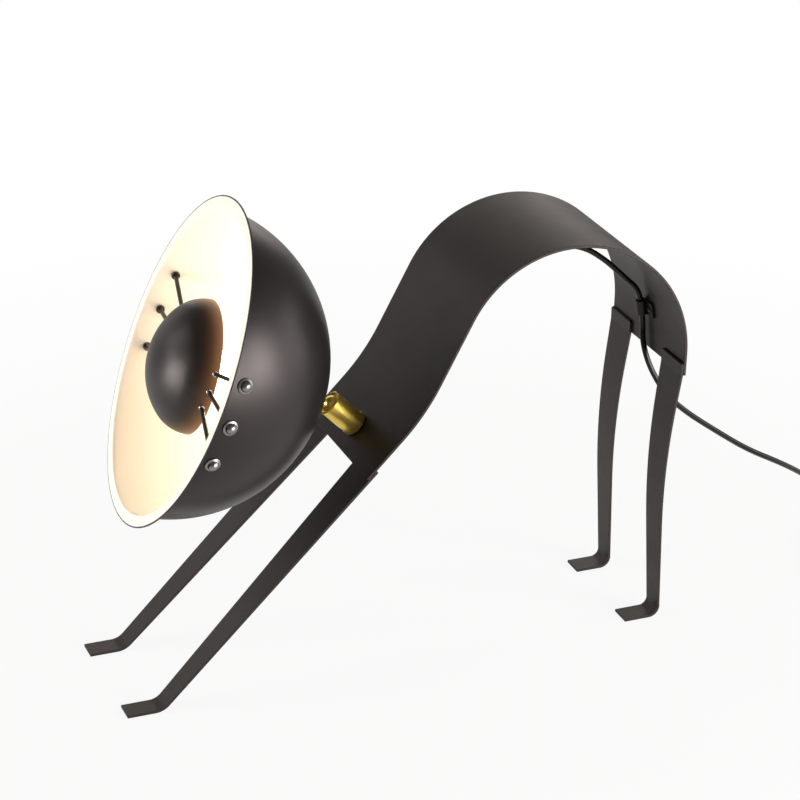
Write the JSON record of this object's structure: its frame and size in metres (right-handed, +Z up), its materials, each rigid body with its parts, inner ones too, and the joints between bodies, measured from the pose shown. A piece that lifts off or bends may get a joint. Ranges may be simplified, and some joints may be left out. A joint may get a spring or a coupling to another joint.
{
  "type": "table lamp",
  "caption": "Cat-shaped desk lamp: arched strip body on bent legs, domed head shade on a ball joint, nose cup held by whisker rods, corded in-line rocker switch",
  "frame": {"origin": "on the floor plane, under the middle of the lamp's length and width, the free cord left out", "axes": "+X from the head towards the rump, +Y across the body to the cat's right side, +Z up"},
  "size_m": [0.8406, 0.3066, 0.4352],
  "materials": {
    "body_black": "matte fine powder coat",
    "shade_black": "satin black paint, the inside of the shade cream white",
    "brass": "polished",
    "zinc_steel": "zinc plated",
    "rubber_black": "matte",
    "whisker_black": "satin black",
    "nut_grey": "gunmetal, semi gloss",
    "holder_plastic": "moulded, satin",
    "contact_brass": "plain",
    "bulb_metal": "rolled thread",
    "bulb_glass": "frosted, lit",
    "cord_black": "smooth sheath",
    "plastic_black": "fine texture",
    "rocker_plastic": "smooth",
    "pin_metal": "nickel plated"
  },
  "bodies": {
    "stand": {"body_strip": "body_black", "front_leg_left": "body_black", "front_leg_right": "body_black", "rear_leg_left": "body_black", "rear_leg_right": "body_black", "neck_nipple": "brass", "neck_washer": "zinc_steel", "neck_nut": "zinc_steel", "clip_screw": "zinc_steel", "friction_pad": "rubber_black", "cord_bushing": "rubber_black", "cord_held": "cord_black", "cord_run": "cord_black", "cord_lead": "cord_black", "cord_coil": "cord_black", "cord_tail": "cord_black", "cord_clip": "plastic_black", "cord_tie": "plastic_black", "switch_lower": "plastic_black", "switch_upper": "plastic_black", "switch_relief_in": "plastic_black", "switch_relief_out": "plastic_black", "plug_body": "plastic_black", "plug_relief": "plastic_black", "plug_pins": "pin_metal"},
    "neck": {"socket_body": "brass", "socket_ring": "brass"},
    "head": {"ball_stem": "brass", "stem_collar": "brass", "shade": "shade_black", "nose_cup": "shade_black", "holder_washer": "zinc_steel", "holder_cap": "holder_plastic", "holder_core": "holder_plastic", "holder_shell": "holder_plastic", "holder_thread": "contact_brass", "holder_contact": "contact_brass", "bulb_tip": "bulb_metal", "bulb_cap": "bulb_metal", "bulb_glass": "bulb_glass", "whisker_rod_left_upper": "whisker_black", "whisker_rod_left_middle": "whisker_black", "whisker_rod_left_lower": "whisker_black", "whisker_rod_right_upper": "whisker_black", "whisker_rod_right_middle": "whisker_black", "whisker_rod_right_lower": "whisker_black", "cup_nut_left_upper": "nut_grey", "cup_nut_left_middle": "nut_grey", "cup_nut_left_lower": "nut_grey", "cup_nut_right_upper": "nut_grey", "cup_nut_right_middle": "nut_grey", "cup_nut_right_lower": "nut_grey", "cap_nut_left_upper": "nut_grey", "cap_nut_left_middle": "nut_grey", "cap_nut_left_lower": "nut_grey", "cap_nut_right_upper": "nut_grey", "cap_nut_right_middle": "nut_grey", "cap_nut_right_lower": "nut_grey"},
    "rocker": {"switch_rocker": "rocker_plastic"}
  },
  "joints": [
    {"name": "neck_swivel", "type": "hinge", "parent": "stand", "child": "neck", "pos_m": [-0.02462, -0.01138, 0.21423], "axis": [-0.7046, 0, 0.7096], "range_deg": [-170, 170]},
    {"name": "head_tilt", "type": "hinge", "parent": "neck", "child": "head", "pos_m": [-0.04716, -0.01138, 0.23694], "axis": [-0.1416, -0.9799, -0.1406], "range_deg": [-49, 5]},
    {"name": "switch_rocker", "type": "hinge", "parent": "stand", "child": "rocker", "pos_m": [0.5606, -0.031, 0.0142], "axis": [1, 0, 0], "range_deg": [-14, 0]}
  ]
}
